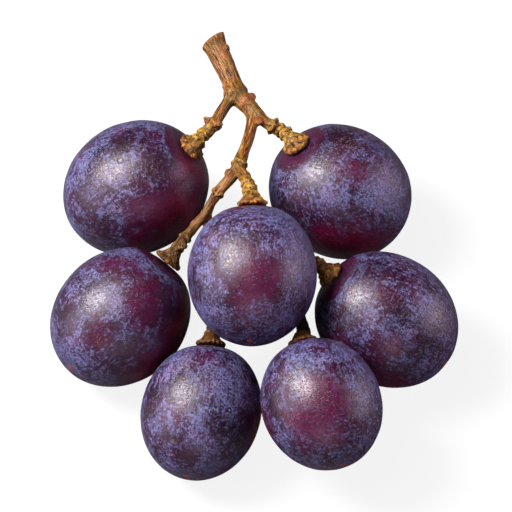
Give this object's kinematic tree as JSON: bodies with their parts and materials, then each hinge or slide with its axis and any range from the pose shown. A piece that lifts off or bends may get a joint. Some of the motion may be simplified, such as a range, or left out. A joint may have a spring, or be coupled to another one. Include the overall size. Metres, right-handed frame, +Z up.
{
  "type": "bunch of grapes",
  "caption": "Small bunch of large dark table grapes on a woody, knobbly stem, lying on its side for a bowl, plate or table.",
  "frame": {"origin": "centre of the bunch's bounding box in X and Y, on the surface it lies on", "axes": "+Y towards the cut end of the main stem, +X to the right seen from the berries' end with the main stem pointing away, +Z up"},
  "size_m": [0.0724, 0.084, 0.0336],
  "materials": {
    "skin": "satin dark purple skin under a dull blue-grey bloom",
    "bark": "matt golden-brown woody stem with ochre warts"
  },
  "bodies": {
    "root": {"stem": "bark", "berry_top_left": "skin", "berry_top_right": "skin", "berry_middle": "skin", "berry_left": "skin", "berry_right": "skin", "berry_lower_left": "skin", "berry_lower_right": "skin"}
  },
  "joints": []
}
